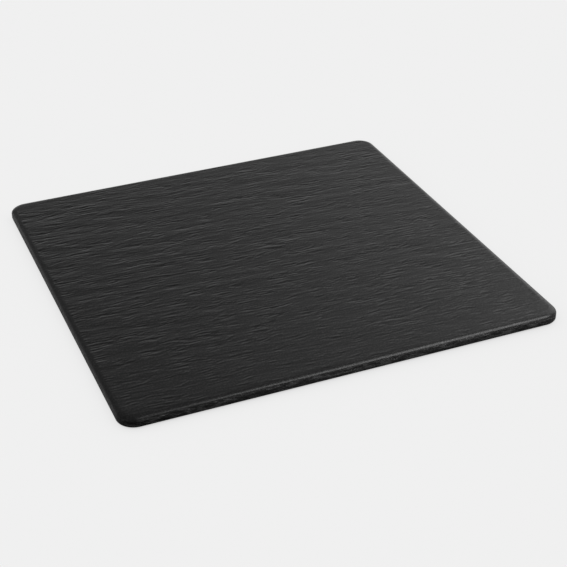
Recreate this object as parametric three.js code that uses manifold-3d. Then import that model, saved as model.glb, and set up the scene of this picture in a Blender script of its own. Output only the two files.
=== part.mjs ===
// Square serving plate: one moulded slab with rounded corners and soft edges, standing on four soft feet.
// Each foot sits in a round pocket in the underside of the slab, held there by an adhesive disc.
// Millimetres, +Z up. The origin is the middle of the plane that the feet stand on, and -Y is the front edge.

import * as THREE from "three";
import { LoftGeometry } from "three/addons/geometries/LoftGeometry.js";
import { mergeVertices } from "three/addons/utils/BufferGeometryUtils.js";
import Module from "manifold-3d";

const wasm = await Module();
wasm.setup();

// Slab: its top edge is a quarter of an ellipse, wider across the top than it is deep down the side
const PLATE_SIDE = 300;
const PLATE_THICKNESS = 7.5;
const CORNER_RADIUS = 12;
const TOP_EDGE_WIDTH = 5;
const TOP_EDGE_DEPTH = 3;
const BASE_EDGE_RADIUS = 1.5;

// Feet: the stand-off is the height of the slab's underside above the table, and the inset is measured from
// the slab's edge to the middle of a foot
const FOOT_DIAMETER = 16;
const FOOT_THICKNESS = 2;
const FOOT_EDGE_RADIUS = 0.6;
const FOOT_STANDOFF = 1;
const FOOT_INSET = 30;
const POCKET_CLEARANCE = 0.4;

// Adhesive discs: the margin is how far the foot reaches past the disc all round
const ADHESIVE_THICKNESS = 0.3;
const ADHESIVE_MARGIN = 0.5;

// Facets in a quarter turn of the slab's corners and edges, and around a foot and along its rounded rim
const CORNER_FACETS = 12;
const EDGE_FACETS = 8;
const FOOT_SIDES = 48;
const FOOT_EDGE_FACETS = 4;

// The height of a foot and its adhesive together is where the pocket's ceiling lies above the table
const FOOT_STACK = FOOT_THICKNESS + ADHESIVE_THICKNESS;
const POCKET_RADIUS = FOOT_DIAMETER / 2 + POCKET_CLEARANCE;
const ADHESIVE_RADIUS = FOOT_DIAMETER / 2 - ADHESIVE_MARGIN;
const FOOT_REACH = PLATE_SIDE / 2 - FOOT_INSET;

// Each corner of the plate, with the signs of its X and Y
const CORNERS = [
  ["front_left", -1, -1],
  ["front_right", 1, -1],
  ["back_left", -1, 1],
  ["back_right", 1, 1],
];

const QUARTER_TURN = Math.PI / 2;

const slabBlack = new THREE.MeshStandardMaterial({ color: "#2a2a2b", roughness: 0.6, metalness: 0 });
const footRubber = new THREE.MeshStandardMaterial({ color: "#1d1d1e", roughness: 0.85, metalness: 0 });
const adhesivePale = new THREE.MeshStandardMaterial({ color: "#cfc9ba", roughness: 0.7, metalness: 0 });

/** The points of a path, with the given number of facets in each arc, which has two to a division. */
function pathPoints(path, facets) {
  return path.getPoints(facets / 2);
}

/** The closed mesh of a geometry as a solid that can be cut. */
function solidOf(geometry) {
  const bare = new THREE.BufferGeometry();
  bare.setAttribute("position", geometry.attributes.position);
  bare.setIndex(geometry.index);
  const merged = mergeVertices(bare);
  const mesh = new wasm.Mesh({
    numProp: 3,
    vertProperties: new Float32Array(merged.attributes.position.array),
    triVerts: new Uint32Array(merged.index.array),
  });
  return new wasm.Manifold(mesh);
}

/** A cut solid as a geometry again. */
function geometryOf(solid) {
  const mesh = solid.getMesh();
  const geometry = new THREE.BufferGeometry();
  geometry.setAttribute("position", new THREE.BufferAttribute(mesh.vertProperties, 3));
  geometry.setIndex(new THREE.BufferAttribute(mesh.triVerts, 1));
  geometry.computeVertexNormals();
  return geometry;
}

/** The slab's edge in section, from the underside up to the top: X is 0 at the side and negative inwards. */
function edgeSection() {
  const depth = Math.min(TOP_EDGE_DEPTH, PLATE_THICKNESS - BASE_EDGE_RADIUS);
  const path = new THREE.Path();
  path.absarc(-BASE_EDGE_RADIUS, BASE_EDGE_RADIUS, BASE_EDGE_RADIUS, -QUARTER_TURN, 0, false);
  path.absellipse(-TOP_EDGE_WIDTH, PLATE_THICKNESS - depth, TOP_EDGE_WIDTH, depth, 0, QUARTER_TURN, false, 0);
  return pathPoints(path, EDGE_FACETS);
}

/** The rounded square that the slab's outline makes when it is pulled in by an inset, at a height. */
function squareOutline(inset, height) {
  const radius = CORNER_RADIUS - inset;
  const reach = PLATE_SIDE / 2 - CORNER_RADIUS;
  const path = new THREE.Path();
  path.absarc(reach, reach, radius, 0, QUARTER_TURN, false);
  path.absarc(-reach, reach, radius, QUARTER_TURN, 2 * QUARTER_TURN, false);
  path.absarc(-reach, -reach, radius, 2 * QUARTER_TURN, 3 * QUARTER_TURN, false);
  path.absarc(reach, -reach, radius, 3 * QUARTER_TURN, 4 * QUARTER_TURN, false);
  return pathPoints(path, CORNER_FACETS).map((point) => new THREE.Vector3(point.x, point.y, height));
}

/** A round disc that stands on the plane Z = 0. */
function discGeometry(radius, thickness) {
  const disc = new THREE.CylinderGeometry(radius, radius, thickness, FOOT_SIDES);
  disc.rotateX(QUARTER_TURN);
  disc.translate(0, 0, thickness / 2);
  return disc;
}

/** The slab, with a pocket for each foot cut up into its underside from the table's height. */
function plateGeometry() {
  const sections = edgeSection().map((point) => squareOutline(-point.x, FOOT_STANDOFF + point.y));
  let slab = solidOf(new LoftGeometry(sections, { capStart: true, capEnd: true }));
  for (const [, signX, signY] of CORNERS) {
    const pocket = discGeometry(POCKET_RADIUS, FOOT_STACK);
    pocket.translate(signX * FOOT_REACH, signY * FOOT_REACH, 0);
    slab = slab.subtract(solidOf(pocket));
  }
  return geometryOf(slab);
}

/** A foot: a disc with a rounded rim where it meets the table and a flat top for the adhesive. */
function footGeometry() {
  const radius = FOOT_DIAMETER / 2;
  const rim = Math.min(FOOT_EDGE_RADIUS, FOOT_THICKNESS);
  const path = new THREE.Path();
  path.moveTo(0, 0);
  path.lineTo(radius - rim, 0);
  path.absarc(radius - rim, rim, rim, -QUARTER_TURN, 0, false);
  path.lineTo(radius, FOOT_THICKNESS);
  path.lineTo(0, FOOT_THICKNESS);
  const foot = new THREE.LatheGeometry(pathPoints(path, FOOT_EDGE_FACETS), FOOT_SIDES);
  foot.rotateX(QUARTER_TURN);
  return foot;
}

function namedMesh(name, geometry, material) {
  const mesh = new THREE.Mesh(geometry, material);
  mesh.name = name;
  return mesh;
}

const plate = new THREE.Group();
plate.name = "square_plate";
plate.add(namedMesh("plate_body", plateGeometry(), slabBlack));

for (const [corner, signX, signY] of CORNERS) {
  const foot = namedMesh(`foot_${corner}`, footGeometry(), footRubber);
  const disc = discGeometry(ADHESIVE_RADIUS, ADHESIVE_THICKNESS);
  const adhesive = namedMesh(`adhesive_${corner}`, disc, adhesivePale);
  adhesive.position.z = FOOT_THICKNESS;
  const seat = new THREE.Group();
  seat.position.set(signX * FOOT_REACH, signY * FOOT_REACH, 0);
  seat.add(foot, adhesive);
  plate.add(seat);
}

export default plate;
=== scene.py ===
"""Looks of a square serving plate: a moulded black slab with a riven slate-look top, on four soft feet."""

import math

import bmesh
import bpy
from mathutils import Matrix, Vector, noise


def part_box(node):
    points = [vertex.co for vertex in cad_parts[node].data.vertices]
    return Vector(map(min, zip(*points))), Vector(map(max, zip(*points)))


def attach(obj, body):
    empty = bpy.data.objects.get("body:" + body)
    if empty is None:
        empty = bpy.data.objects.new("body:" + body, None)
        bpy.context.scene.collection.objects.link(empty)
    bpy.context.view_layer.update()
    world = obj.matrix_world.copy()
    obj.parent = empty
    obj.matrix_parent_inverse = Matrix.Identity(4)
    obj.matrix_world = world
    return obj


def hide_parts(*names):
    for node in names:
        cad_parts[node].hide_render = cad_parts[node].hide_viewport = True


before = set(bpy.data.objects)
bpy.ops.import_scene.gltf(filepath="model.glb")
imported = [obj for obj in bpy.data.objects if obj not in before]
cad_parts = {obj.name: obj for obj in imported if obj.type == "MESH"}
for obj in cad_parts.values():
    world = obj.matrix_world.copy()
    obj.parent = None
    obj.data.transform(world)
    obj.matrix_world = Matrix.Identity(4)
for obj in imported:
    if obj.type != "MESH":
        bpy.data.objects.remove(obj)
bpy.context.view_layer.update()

MM = 0.001
LEVEL_TOLERANCE = 0.0001 * MM

# Slab: the frame gives its outer sizes, and its corners and edges are rounded as those of the solid are
slab_low, slab_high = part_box("plate_body")
CORNER_RADIUS = 12 * MM
TOP_EDGE_WIDTH = 5 * MM
TOP_EDGE_DEPTH = 3 * MM
BASE_EDGE_RADIUS = 1.5 * MM
CORNER_SEGMENTS = 24
BASE_EDGE_SEGMENTS = 6

# Outer part of the rounded top edge: it is built up in steps to this turn, and the relief goes on from there
TOP_EDGE_TURN = math.radians(60)
TOP_EDGE_SEGMENTS = 10

# Riven relief: it starts on the rounded edge, inset from the side, and its crests reach the frame's height
CREST_RISE = 0.3 * MM
FIELD_SINK = 0.04 * MM
RELIEF_INSET = 2.75 * MM
RELIEF_FADE = 2 * MM
RELIEF_COLUMNS = 156
RELIEF_ROWS = 576
EDGE_COLUMNS = 6
EDGE_BAND = 3 * MM
LIP_ROWS = 2

# Grain: each noise has the length and width of its features, and the height of its slice through the noise
GRAIN_TURN = math.radians(-4.5)
LONG_SWAY = (70 * MM, 26 * MM, 1.3)
SHORT_SWAY = (9 * MM, 6 * MM, 4.7)
LONG_LAYERS = (28 * MM, 5.5 * MM, 21.4)
SHORT_LAYERS = (9 * MM, 2.8 * MM, 27.8)
LONG_RIDGES = (16 * MM, 2.2 * MM, 8.1)
SHORT_RIDGES = (4 * MM, 1.6 * MM, 12.9)
SWELLS = (40 * MM, 8 * MM, 40.2)
PATCHES = (10 * MM, 5.5 * MM, 33.3)

# How far the lines of the grain sway, and how high its features stand
LONG_SWAY_REACH = 1.6 * MM
SHORT_SWAY_REACH = 0.6 * MM
LAYER_HEIGHT = 0.25 * MM
RIDGE_HEIGHT = 0.185 * MM
SHORT_RIDGE_SHARE = 0.7
SWELL_HEIGHT = 0.25 * MM
LIP_HEIGHT = 0.14 * MM

# Split layers: how many steps their noises give, where in a step its rise starts, and how much is levelled
LONG_LAYER_STEPS = 1.2
SHORT_LAYER_STEPS = 0.8
STEP_RISE_START = 0.7
STEP_LEVELLING = 0.85

# Patches of faint and strong grain: the least strength, what the strong ones add, and the noise between them
FAINT_PATCH = 0.3
STRONG_PATCH_GAIN = 1.15
PATCH_START = -0.15
PATCH_END = 0.5

# Calm zones of the grain: the share of its height left at the edge, and the distances from the edge where
# it starts to grow and where it is full
FRONT_CALM = (0.55, 10 * MM, 110 * MM)
FAR_CALM = (0.72, 9 * MM, 24 * MM)

# Feet and the pockets they sit in: one foot and its adhesive disc, as the frame has them, stand for all
foot_low, foot_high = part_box("foot_back_right")
FOOT_REACH = (foot_low.x + foot_high.x) / 2
FOOT_RADIUS = (foot_high.x - foot_low.x) / 2
FOOT_THICKNESS = foot_high.z - foot_low.z
FOOT_RIM = 0.6 * MM
FOOT_RIM_SEGMENTS = 6
FOOT_SIDES = 96
POCKET_CLEARANCE = 0.4 * MM
POCKET_RADIUS = FOOT_RADIUS + POCKET_CLEARANCE
POCKET_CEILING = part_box("adhesive_back_right")[1].z
POCKET_SIDES = 64
CORNERS = {"front_left": (-1, -1), "front_right": (1, -1), "back_left": (-1, 1), "back_right": (1, 1)}

# Finish of the slab: tone and sheen go from painted shade in its hollows over its plain surface to a painted
# highlight on its lips, and its chips move them either way
SLAB_TONES = (0.0030, 0.0059, 0.0180)
SLAB_SHEEN = (0.30, 0.43, 0.86)
SLAB_ROUGHNESS = (0.26, 0.34)
SLAB_IOR = 1.38
COOL_TINT = 1.01

# Patterns on the slab: features to the metre, how much they wear the surface, and how deep they are
FINE_GRAIN_SCALE = (220, 800, 300)
FINE_GRAIN_DEPTH = 0.06 * MM
SPECKLE_SCALE = 1000.0
SPECKLE_WEAR = 0.42
SPECKLE_DEPTH = 0.015 * MM
LEDGE_SCALE = (150, 150, 700)
CHIP_WEAR = 1.5
CHIP_DEPTH = 0.3 * MM

# Sides of the slab: the upright part of the normal up to which a face is all side, and from which it is none
FULL_SIDE = 0.2
NO_SIDE = 0.7

# Part of a noise that is stretched over its whole range
NOISE_LOW = 0.33
NOISE_HIGH = 0.67

# Finish of the feet and the adhesive: their darkest and lightest specks and their mean roughness
FOOT_DARK = (0.012, 0.012, 0.013)
FOOT_LIGHT = (0.024, 0.024, 0.025)
FOOT_ROUGHNESS = 0.75
ADHESIVE_DARK = (0.58, 0.54, 0.45)
ADHESIVE_LIGHT = (0.66, 0.62, 0.53)
ADHESIVE_ROUGHNESS = 0.6
SPECK_SCALE = 600.0
SPECK_GLOSS = 0.08
SPECK_DEPTH = 0.05 * MM

# Floor: the grey of its paper to the eye and in bounced light
STAGE_RADIUS = 20.0
BACKGROUND_GREY = 0.871
PAPER_GREY = 0.8

# Shade of the plate on the paper close by: reach, samples, and strength to the eye and in reflections
CONTACT_REACH = 60 * MM
CONTACT_SAMPLES = 16
SEEN_CONTACT = 0.15
MIRRORED_CONTACT = 1.35

# The plate's own shadow in front of its near corner, as the plate reflects it: its middle, the radii where
# it is full and where it ends, and the tones of the reflected paper inside and outside it
SHADOW_MIDDLE = (-135 * MM, -195 * MM, 0)
SHADOW_FULL = 45 * MM
SHADOW_END = 80 * MM
SHADOW_TONE = 0.12
OPEN_TONE = 0.48

# Brightness of the room by the sine of the elevation
ROOM_GREYS = ((0.001, 0.87), (0.13, 0.87), (0.17, 0.25), (0.34, 0.245), (0.5, 0.256), (0.64, 0.27),
              (0.77, 0.28), (0.9, 0.3), (0.999, 0.3))

# Camera, from the outline of the plate in the photograph
CAMERA_AIM = Vector((-3.25 * MM, -42.04 * MM, slab_high.z - CREST_RISE))
CAMERA_DISTANCE = 921.06 * MM
CAMERA_AZIMUTH = math.radians(-21.821)
CAMERA_ELEVATION = math.radians(30.765)
CAMERA_ROLL = math.radians(1.013)
CAMERA_LENS_MM = 86.08
SENSOR_MM = 36.0


def smooth_step(low, high, value):
    """0 below low, 1 above high and a soft ramp between."""
    share = min(max((value - low) / (high - low), 0.0), 1.0)
    return share * share * (3 - 2 * share)


def grain_noise(along, across, grain):
    """One of the noises of the grain, at a place along and across it."""
    length, width, level = grain
    return noise.noise(Vector((along / length, across / width, level)))


def calm_share(zone, distance):
    """Share of the grain's height that a calm zone leaves at a distance from its edge."""
    least, start, end = zone
    return least + (1 - least) * smooth_step(start, end, distance)


def riven_height(x, y):
    """Height of the riven top over its mean level: thin split layers and the fine ridges on them."""
    along = x * math.cos(GRAIN_TURN) + y * math.sin(GRAIN_TURN)
    across = y * math.cos(GRAIN_TURN) - x * math.sin(GRAIN_TURN)
    across += LONG_SWAY_REACH * grain_noise(along, across, LONG_SWAY)
    across += SHORT_SWAY_REACH * grain_noise(along, across, SHORT_SWAY)
    layers = LONG_LAYER_STEPS * grain_noise(along, across, LONG_LAYERS)
    layers += SHORT_LAYER_STEPS * grain_noise(along, across, SHORT_LAYERS)
    below = math.floor(layers)
    step = below + smooth_step(STEP_RISE_START, 1.0, layers - below) - STEP_LEVELLING * layers
    ridge = grain_noise(along, across, LONG_RIDGES)
    ridge += SHORT_RIDGE_SHARE * grain_noise(along, across, SHORT_RIDGES)
    swell = grain_noise(along, across, SWELLS)
    strong = smooth_step(PATCH_START, PATCH_END, grain_noise(x, y, PATCHES))
    patch = FAINT_PATCH + STRONG_PATCH_GAIN * strong
    calm = calm_share(FRONT_CALM, y - slab_low.y)
    calm *= calm_share(FAR_CALM, min(slab_high.x - x, slab_high.y - y))
    return calm * (patch * (RIDGE_HEIGHT * ridge + LAYER_HEIGHT * step) + SWELL_HEIGHT * swell)


def new_piece(name, bm, material, smooth=True):
    """Makes an object of a bmesh, in place, with one material."""
    mesh = bpy.data.meshes.new(name)
    bm.normal_update()
    bm.to_mesh(mesh)
    bm.free()
    for face in mesh.polygons:
        face.use_smooth = smooth
    mesh.materials.append(material)
    piece = bpy.data.objects.new(name, mesh)
    bpy.context.scene.collection.objects.link(piece)
    return piece


def edges_at_height(bm, height):
    """Edges that lie level at this height."""
    return [e for e in bm.edges if all(abs(v.co.z - height) < LEVEL_TOLERANCE for v in e.verts)]


def round_edges(bm, edges, radius, segments):
    """Rounds these edges."""
    bmesh.ops.bevel(bm, geom=edges, offset=radius, offset_type="OFFSET", segments=segments, profile=0.5,
                    affect="EDGES", clamp_overlap=True, material=-1)


def rounded_corner(x, y, square, radius):
    """Moves a point of a square grid into the rounded square of this half side and corner radius."""
    u, v = (abs(x) - square + radius) / radius, (abs(y) - square + radius) / radius
    if u <= 0 or v <= 0:
        return x, y
    reach = square - radius
    round_x = reach + radius * u * math.sqrt(1 - v * v / 2)
    round_y = reach + radius * v * math.sqrt(1 - u * u / 2)
    return math.copysign(round_x, x), math.copysign(round_y, y)


def close_columns(x, half):
    """Moves a column of an even grid so that the columns lie close together over the rounded edges."""
    columns = RELIEF_COLUMNS / 2
    inner = columns - EDGE_COLUMNS
    place = abs(x) / half * columns
    if place <= inner:
        moved = place / inner * (half - EDGE_BAND)
    else:
        moved = half - EDGE_BAND * (columns - place) / EDGE_COLUMNS
    return math.copysign(moved, x)


def inset_at(x, y):
    """How far a point lies inside the slab's outline."""
    u, v = abs(x) - slab_high.x + CORNER_RADIUS, abs(y) - slab_high.y + CORNER_RADIUS
    return CORNER_RADIUS - (math.hypot(u, v) if u > 0 and v > 0 else max(u, v))


def edge_drop(inset):
    """How far the rounded top edge lies under the top at this inset."""
    share = max(1 - inset / TOP_EDGE_WIDTH, 0.0)
    return TOP_EDGE_DEPTH * (1 - math.sqrt(1 - share * share))


def rounded_block(top):
    """A block with rounded corners, a rounded base edge and the outer part of the rounded top edge."""
    wall_top = top - TOP_EDGE_DEPTH
    size = Vector((slab_high.x - slab_low.x, slab_high.y - slab_low.y, wall_top - slab_low.z))
    middle = Matrix.Translation((0, 0, (wall_top + slab_low.z) / 2))
    bm = bmesh.new()
    bmesh.ops.create_cube(bm, size=1.0, matrix=middle @ Matrix.Diagonal(size).to_4x4())
    upright = [e for e in bm.edges if abs(e.verts[0].co.z - e.verts[1].co.z) > size.z / 2]
    round_edges(bm, upright, CORNER_RADIUS, CORNER_SEGMENTS)
    round_edges(bm, edges_at_height(bm, slab_low.z), BASE_EDGE_RADIUS, BASE_EDGE_SEGMENTS)
    cap = max(bm.faces, key=lambda face: face.calc_center_median().z)
    turn = TOP_EDGE_TURN / TOP_EDGE_SEGMENTS
    for step in range(TOP_EDGE_SEGMENTS):
        inward = TOP_EDGE_WIDTH * (math.cos(step * turn) - math.cos((step + 1) * turn))
        upward = TOP_EDGE_DEPTH * (math.sin((step + 1) * turn) - math.sin(step * turn))
        bmesh.ops.inset_region(bm, faces=[cap], thickness=inward, depth=upward, use_even_offset=True)
    return bm, cap


def lay_relief(bm, cap, top):
    """Swaps the flat cap for the inner part of the rounded edge and a fine field of riven relief.

    The float attribute is high on layer lips and low in hollows, for a painted highlight and painted shade.
    """
    border_edges = list(cap.edges)
    bmesh.ops.delete(bm, geom=[cap], context="FACES_ONLY")
    painted_relief_light = bm.verts.layers.float.new("painted_relief_light")
    half = slab_high.x - RELIEF_INSET
    grid = bmesh.ops.create_grid(bm, x_segments=RELIEF_COLUMNS, y_segments=RELIEF_ROWS, size=half)["verts"]
    rim_edges = [e for e in {e for v in grid for e in v.link_edges} if e.is_boundary]
    heights = []
    for v in grid:
        x, y = rounded_corner(close_columns(v.co.x, half), v.co.y, half, CORNER_RADIUS - RELIEF_INSET)
        inset = inset_at(x, y)
        fade = smooth_step(RELIEF_INSET, RELIEF_INSET + RELIEF_FADE, inset)
        height = riven_height(x, y) * fade
        heights.append(height)
        v.co = x, y, top - edge_drop(inset) + min(height - FIELD_SINK * fade, CREST_RISE)
    # Painted light of the relief: high on the lips for a painted highlight, low in the hollows for painted
    # shade
    reach = LIP_ROWS * (RELIEF_COLUMNS + 1)
    for i in range(reach, len(grid) - reach):
        grid[i][painted_relief_light] = (2 * heights[i] - heights[i - reach] - heights[i + reach]) / LIP_HEIGHT
    bmesh.ops.triangle_fill(bm, edges=border_edges + rim_edges, use_beauty=True, use_dissolve=False)


def cut_pockets(bm):
    """Swaps the flat underside for one with a round pocket over each foot."""
    base = min(bm.faces, key=lambda face: face.calc_center_median().z)
    base_edges = list(base.edges)
    bmesh.ops.delete(bm, geom=[base], context="FACES_ONLY")
    mouths = []
    for sign_x, sign_y in CORNERS.values():
        place = Matrix.Translation((sign_x * FOOT_REACH, sign_y * FOOT_REACH, slab_low.z))
        ring = bmesh.ops.create_circle(bm, segments=POCKET_SIDES, radius=POCKET_RADIUS, matrix=place)["verts"]
        mouths.append(list({e for v in ring for e in v.link_edges}))
    bmesh.ops.triangle_fill(bm, edges=base_edges + [e for mouth in mouths for e in mouth], use_beauty=True,
                            use_dissolve=False)
    for mouth in mouths:
        wall = bmesh.ops.extrude_edge_only(bm, edges=mouth)["geom"]
        rim = [v for v in wall if isinstance(v, bmesh.types.BMVert)]
        bmesh.ops.translate(bm, verts=rim, vec=(0, 0, POCKET_CEILING - slab_low.z))
        wall_edges = [e for e in wall if isinstance(e, bmesh.types.BMEdge)]
        ceiling = [e for e in wall_edges if e.verts[0] in rim and e.verts[1] in rim]
        bmesh.ops.contextual_create(bm, geom=ceiling)
        for e in mouth + ceiling:
            e.smooth = False


def slab_bmesh():
    """The whole slab: its crests end at the frame's height, so its mean top lies a little lower."""
    top = slab_high.z - CREST_RISE
    bm, cap = rounded_block(top)
    lay_relief(bm, cap, top)
    cut_pockets(bm)
    bmesh.ops.recalc_face_normals(bm, faces=bm.faces)
    return bm


def foot_bmesh(middle):
    """A soft disc with a rounded rim where it meets the table."""
    bm = bmesh.new()
    bmesh.ops.create_cone(bm, cap_ends=True, segments=FOOT_SIDES, radius1=FOOT_RADIUS, radius2=FOOT_RADIUS,
                          depth=FOOT_THICKNESS, matrix=Matrix.Translation(middle))
    round_edges(bm, edges_at_height(bm, middle.z - FOOT_THICKNESS / 2), FOOT_RIM, FOOT_RIM_SEGMENTS)
    for e in edges_at_height(bm, middle.z + FOOT_THICKNESS / 2):
        e.smooth = False
    return bm


def node(tree, kind, **inputs):
    """A shader node with values or links on its sockets."""
    made = tree.nodes.new(kind)
    for name, value in inputs.items():
        socket = made.inputs[name.replace("_", " ")]
        if isinstance(value, bpy.types.NodeSocket):
            tree.links.new(value, socket)
        else:
            socket.default_value = value
    return made


def combine(tree, operation, *terms):
    """The result of a calculation with sockets."""
    made = node(tree, "ShaderNodeMath")
    made.operation = operation
    for term, socket in zip(terms, made.inputs):
        tree.links.new(term, socket)
    return made.outputs["Value"]


def stretched_noise(tree, place, scale, detail, roughness):
    """A noise with this many features to the metre along each axis."""
    stretched = node(tree, "ShaderNodeMapping", Vector=place, Scale=scale).outputs["Vector"]
    return node(tree, "ShaderNodeTexNoise", Vector=stretched, Scale=1.0, Detail=detail,
                Roughness=roughness).outputs["Fac"]


def spread(tree, value, low, high):
    """The middle part of a noise, stretched to this range."""
    return node(tree, "ShaderNodeMapRange", Value=value, From_Min=NOISE_LOW, From_Max=NOISE_HIGH, To_Min=low,
                To_Max=high).outputs["Result"]


def grey_ramp(tree, value, greys):
    """A ramp of three slightly cool greys for a value from -1 to 1."""
    place = node(tree, "ShaderNodeMapRange", Value=value, From_Min=-1.0, From_Max=1.0).outputs["Result"]
    ramp = node(tree, "ShaderNodeValToRGB", Fac=place)
    stops = ramp.color_ramp.elements
    stops.new(0.5)
    for stop, grey in zip(stops, greys):
        stop.color = (grey, grey, COOL_TINT * grey, 1)
    return ramp.outputs["Color"]


def new_material(name):
    """A material with its node tree and its shader."""
    material = bpy.data.materials.new(name)
    material.use_nodes = True
    tree = material.node_tree
    shader = tree.nodes["Principled BSDF"]
    return material, tree, shader


def slab_sides(tree):
    """1 on the sides of the slab, 0 on its top and underside, and a ramp over the rounded edges."""
    facing = node(tree, "ShaderNodeNewGeometry").outputs["Normal"]
    upright = combine(tree, "ABSOLUTE", node(tree, "ShaderNodeSeparateXYZ", Vector=facing).outputs["Z"])
    return node(tree, "ShaderNodeMapRange", Value=upright, From_Min=FULL_SIDE, From_Max=NO_SIDE, To_Min=1.0,
                To_Max=0.0).outputs["Result"]


def slab_black():
    """Satin black melamine: a paler, glossier painted highlight on lips, painted shade in hollows, chipped
    sides.
    """
    material, tree, shader = new_material("slab_black")
    place = node(tree, "ShaderNodeTexCoord").outputs["Object"]
    fine = stretched_noise(tree, place, FINE_GRAIN_SCALE, detail=4.0, roughness=0.6)
    speckle = node(tree, "ShaderNodeTexNoise", Vector=place, Scale=SPECKLE_SCALE, Detail=2.0).outputs["Fac"]
    # Painted light of the relief: high on the lips for a painted highlight, low in the hollows for painted
    # shade
    lips = node(tree, "ShaderNodeAttribute")
    lips.attribute_name = "painted_relief_light"
    painted_light_and_speckle = combine(tree, "ADD", lips.outputs["Fac"], spread(tree, speckle, -SPECKLE_WEAR, SPECKLE_WEAR))
    ledges = stretched_noise(tree, place, LEDGE_SCALE, detail=3.0, roughness=0.65)
    chips = combine(tree, "MULTIPLY", slab_sides(tree), spread(tree, ledges, -CHIP_WEAR, CHIP_WEAR))
    painted_light_and_wear = combine(tree, "ADD", painted_light_and_speckle, chips)

    # Tone and specular level both carry the painted highlight and painted shade, besides the speckle and
    # chips
    tree.links.new(grey_ramp(tree, painted_light_and_wear, SLAB_TONES), shader.inputs["Base Color"])
    shader.inputs["Specular IOR Level"].default_value = SLAB_SHEEN[1]
    tree.links.new(grey_ramp(tree, painted_light_and_wear, SLAB_SHEEN), shader.inputs["Specular IOR Level"])
    smooth, rough = SLAB_ROUGHNESS
    satin = node(tree, "ShaderNodeMapRange", Value=fine, To_Min=smooth, To_Max=rough)
    tree.links.new(satin.outputs["Result"], shader.inputs["Roughness"])
    shader.inputs["IOR"].default_value = SLAB_IOR

    grain_bump = node(tree, "ShaderNodeBump", Height=fine, Strength=0.5, Distance=FINE_GRAIN_DEPTH)
    speckle_bump = node(tree, "ShaderNodeBump", Height=speckle, Strength=0.3, Distance=SPECKLE_DEPTH,
                        Normal=grain_bump.outputs["Normal"])
    chip_bump = node(tree, "ShaderNodeBump", Height=chips, Strength=0.8, Distance=CHIP_DEPTH,
                     Normal=speckle_bump.outputs["Normal"])
    tree.links.new(chip_bump.outputs["Normal"], shader.inputs["Normal"])
    return material


def mottled_material(name, dark, light, roughness):
    """A dull material whose colour and gloss vary a little over small specks."""
    material, tree, shader = new_material(name)
    place = node(tree, "ShaderNodeTexCoord").outputs["Object"]
    specks = node(tree, "ShaderNodeTexNoise", Vector=place, Scale=SPECK_SCALE, Detail=3.0).outputs["Fac"]
    tone = node(tree, "ShaderNodeValToRGB", Fac=spread(tree, specks, 0.0, 1.0))
    tone.color_ramp.elements[0].color = (*dark, 1)
    tone.color_ramp.elements[1].color = (*light, 1)
    tree.links.new(tone.outputs["Color"], shader.inputs["Base Color"])
    gloss = spread(tree, specks, roughness + SPECK_GLOSS, roughness - SPECK_GLOSS)
    tree.links.new(gloss, shader.inputs["Roughness"])
    bump = node(tree, "ShaderNodeBump", Height=specks, Strength=0.5, Distance=SPECK_DEPTH)
    tree.links.new(bump.outputs["Normal"], shader.inputs["Normal"])
    return material


def build_plate():
    """The slab, with its riven top."""
    piece = new_piece("plate_slab", slab_bmesh(), slab_black())
    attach(piece, "root")
    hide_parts("plate_body")


def build_feet():
    """The four feet, each under its pocket."""
    rubber = mottled_material("foot_rubber", FOOT_DARK, FOOT_LIGHT, FOOT_ROUGHNESS)
    for corner, (sign_x, sign_y) in CORNERS.items():
        middle = Vector((sign_x * FOOT_REACH, sign_y * FOOT_REACH, FOOT_THICKNESS / 2))
        piece = new_piece("foot_pad_" + corner, foot_bmesh(middle), rubber)
        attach(piece, "root")
        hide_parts("foot_" + corner)


def finish_adhesive():
    """The adhesive discs keep the solids' own meshes and get their finish here."""
    adhesive = mottled_material("adhesive_pale", ADHESIVE_DARK, ADHESIVE_LIGHT, ADHESIVE_ROUGHNESS)
    for corner in CORNERS:
        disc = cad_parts["adhesive_" + corner]
        disc.data.materials.clear()
        disc.data.materials.append(adhesive)


def reflected_paper(tree):
    """Tone of the paper in what the plate reflects, with the shadow in front of the near corner."""
    place = node(tree, "ShaderNodeTexCoord").outputs["Object"]
    from_shadow = node(tree, "ShaderNodeVectorMath", Vector=place)
    from_shadow.operation = "DISTANCE"
    from_shadow.inputs[1].default_value = SHADOW_MIDDLE
    tone = node(tree, "ShaderNodeMapRange", Value=from_shadow.outputs["Value"], From_Min=SHADOW_FULL,
                From_Max=SHADOW_END, To_Min=SHADOW_TONE, To_Max=OPEN_TONE)
    tone.interpolation_type = "SMOOTHSTEP"
    return tone.outputs["Result"]


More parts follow.
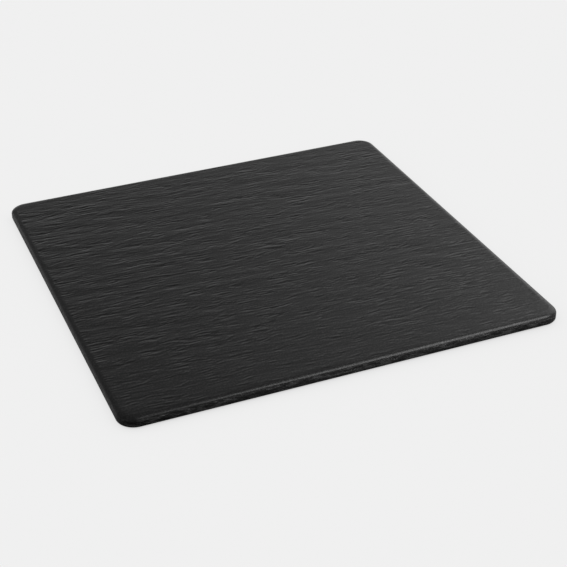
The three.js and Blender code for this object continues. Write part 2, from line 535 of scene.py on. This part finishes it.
def floor_paper():
    """Pale seamless paper: even to the eye, and with the plate's own shade in what the plate reflects."""
    material = bpy.data.materials.new("floor_paper")
    material.use_nodes = True
    tree = material.node_tree
    tree.nodes.clear()
    path = node(tree, "ShaderNodeLightPath").outputs
    mirrored = combine(tree, "MAXIMUM", path["Is Glossy Ray"], path["Is Transmission Ray"])
    seen = combine(tree, "MAXIMUM", path["Is Camera Ray"], mirrored)
    open_sky = node(tree, "ShaderNodeAmbientOcclusion", Distance=CONTACT_REACH)
    open_sky.samples = CONTACT_SAMPLES
    contact = node(tree, "ShaderNodeMapRange", Value=mirrored, To_Min=SEEN_CONTACT, To_Max=MIRRORED_CONTACT)
    shade = combine(tree, "POWER", open_sky.outputs["AO"], contact.outputs["Result"])
    tone = node(tree, "ShaderNodeMapRange", Value=mirrored, To_Min=1.0, To_Max=reflected_paper(tree))
    level = combine(tree, "MULTIPLY", shade, tone.outputs["Result"])
    paper = node(tree, "ShaderNodeBsdfDiffuse", Color=(PAPER_GREY,) * 3 + (1,))
    glow = node(tree, "ShaderNodeEmission", Color=(BACKGROUND_GREY,) * 3 + (1,), Strength=level)
    mix = node(tree, "ShaderNodeMixShader")
    tree.links.new(seen, mix.inputs[0])
    tree.links.new(paper.outputs[0], mix.inputs[1])
    tree.links.new(glow.outputs[0], mix.inputs[2])
    out = node(tree, "ShaderNodeOutputMaterial")
    tree.links.new(mix.outputs[0], out.inputs["Surface"])
    return material


def build_stage():
    """A floor of one large triangle, because a seam between two faces would show as a faint line."""
    bm = bmesh.new()
    bmesh.ops.create_circle(bm, cap_ends=True, segments=3, radius=STAGE_RADIUS)
    floor = new_piece("floor", bm, floor_paper(), smooth=False)


def build_world():
    """A dim room, brightest just over the pale floor."""
    world = bpy.data.worlds.new("studio")
    bpy.context.scene.world = world
    world.use_nodes = True
    tree = world.node_tree
    tree.nodes.clear()
    towards = node(tree, "ShaderNodeTexCoord").outputs["Generated"]
    upward = node(tree, "ShaderNodeSeparateXYZ", Vector=towards).outputs["Z"]
    room_tone = node(tree, "ShaderNodeValToRGB", Fac=upward)
    ramp = room_tone.color_ramp
    for height, grey in ROOM_GREYS:
        stop = ramp.elements.new(height)
        stop.color = (grey, grey, grey, 1)
    ramp.elements.remove(ramp.elements[0])
    ramp.elements.remove(ramp.elements[-1])
    room = node(tree, "ShaderNodeBackground", Color=room_tone.outputs["Color"], Strength=1.0)
    out = node(tree, "ShaderNodeOutputWorld")
    tree.links.new(room.outputs[0], out.inputs["Surface"])


def soft_box(name, azimuth, elevation, distance, wide, high, radiance):
    """A rectangular lamp that faces the plate, with its width and height as angles seen from there.

    Azimuth 0 is behind the plate and 90 to its right.
    """
    a, e = math.radians(azimuth), math.radians(elevation)
    towards = Vector((math.sin(a) * math.cos(e), math.cos(a) * math.cos(e), math.sin(e)))
    lamp = bpy.data.lights.new(name, "AREA")
    lamp.shape = "RECTANGLE"
    lamp.size = 2 * distance * math.tan(math.radians(wide / 2))
    lamp.size_y = 2 * distance * math.tan(math.radians(high / 2))
    lamp.energy = radiance * math.pi * lamp.size * lamp.size_y
    box = bpy.data.objects.new(name, lamp)
    box.location = towards * distance
    box.rotation_euler = towards.to_track_quat("Z", "Y").to_euler()
    bpy.context.scene.collection.objects.link(box)


def build_lights():
    """Soft boxes, most of them to the right of the plate."""
    soft_box("right_high", azimuth=121, elevation=57, distance=3.0, wide=32, high=22, radiance=6.2)
    soft_box("back_right", azimuth=60, elevation=31, distance=3.5, wide=34, high=40, radiance=0.95)
    soft_box("right_wall", azimuth=85, elevation=33, distance=4.0, wide=105, high=64, radiance=0.26)
    soft_box("low_back", azimuth=20, elevation=16, distance=4.0, wide=44, high=22, radiance=0.2)
    soft_box("front_right", azimuth=150, elevation=14, distance=2.0, wide=30, high=16, radiance=1.2)


def build_camera():
    """The camera looks at its aim from the front and a little to the left."""
    a, e = CAMERA_AZIMUTH, CAMERA_ELEVATION
    back = Vector((math.sin(a) * math.cos(e), -math.cos(a) * math.cos(e), math.sin(e)))
    data = bpy.data.cameras.new("camera")
    data.sensor_width = SENSOR_MM
    data.lens = CAMERA_LENS_MM
    camera = bpy.data.objects.new("camera", data)
    turn = back.to_track_quat("Z", "Y").to_matrix().to_4x4() @ Matrix.Rotation(-CAMERA_ROLL, 4, "Z")
    camera.matrix_world = Matrix.Translation(CAMERA_AIM + back * CAMERA_DISTANCE) @ turn
    bpy.context.scene.collection.objects.link(camera)
    bpy.context.scene.camera = camera


bpy.context.scene.view_settings.view_transform = "Standard"
build_plate()
build_feet()
finish_adhesive()
build_stage()
build_world()
build_lights()
build_camera()
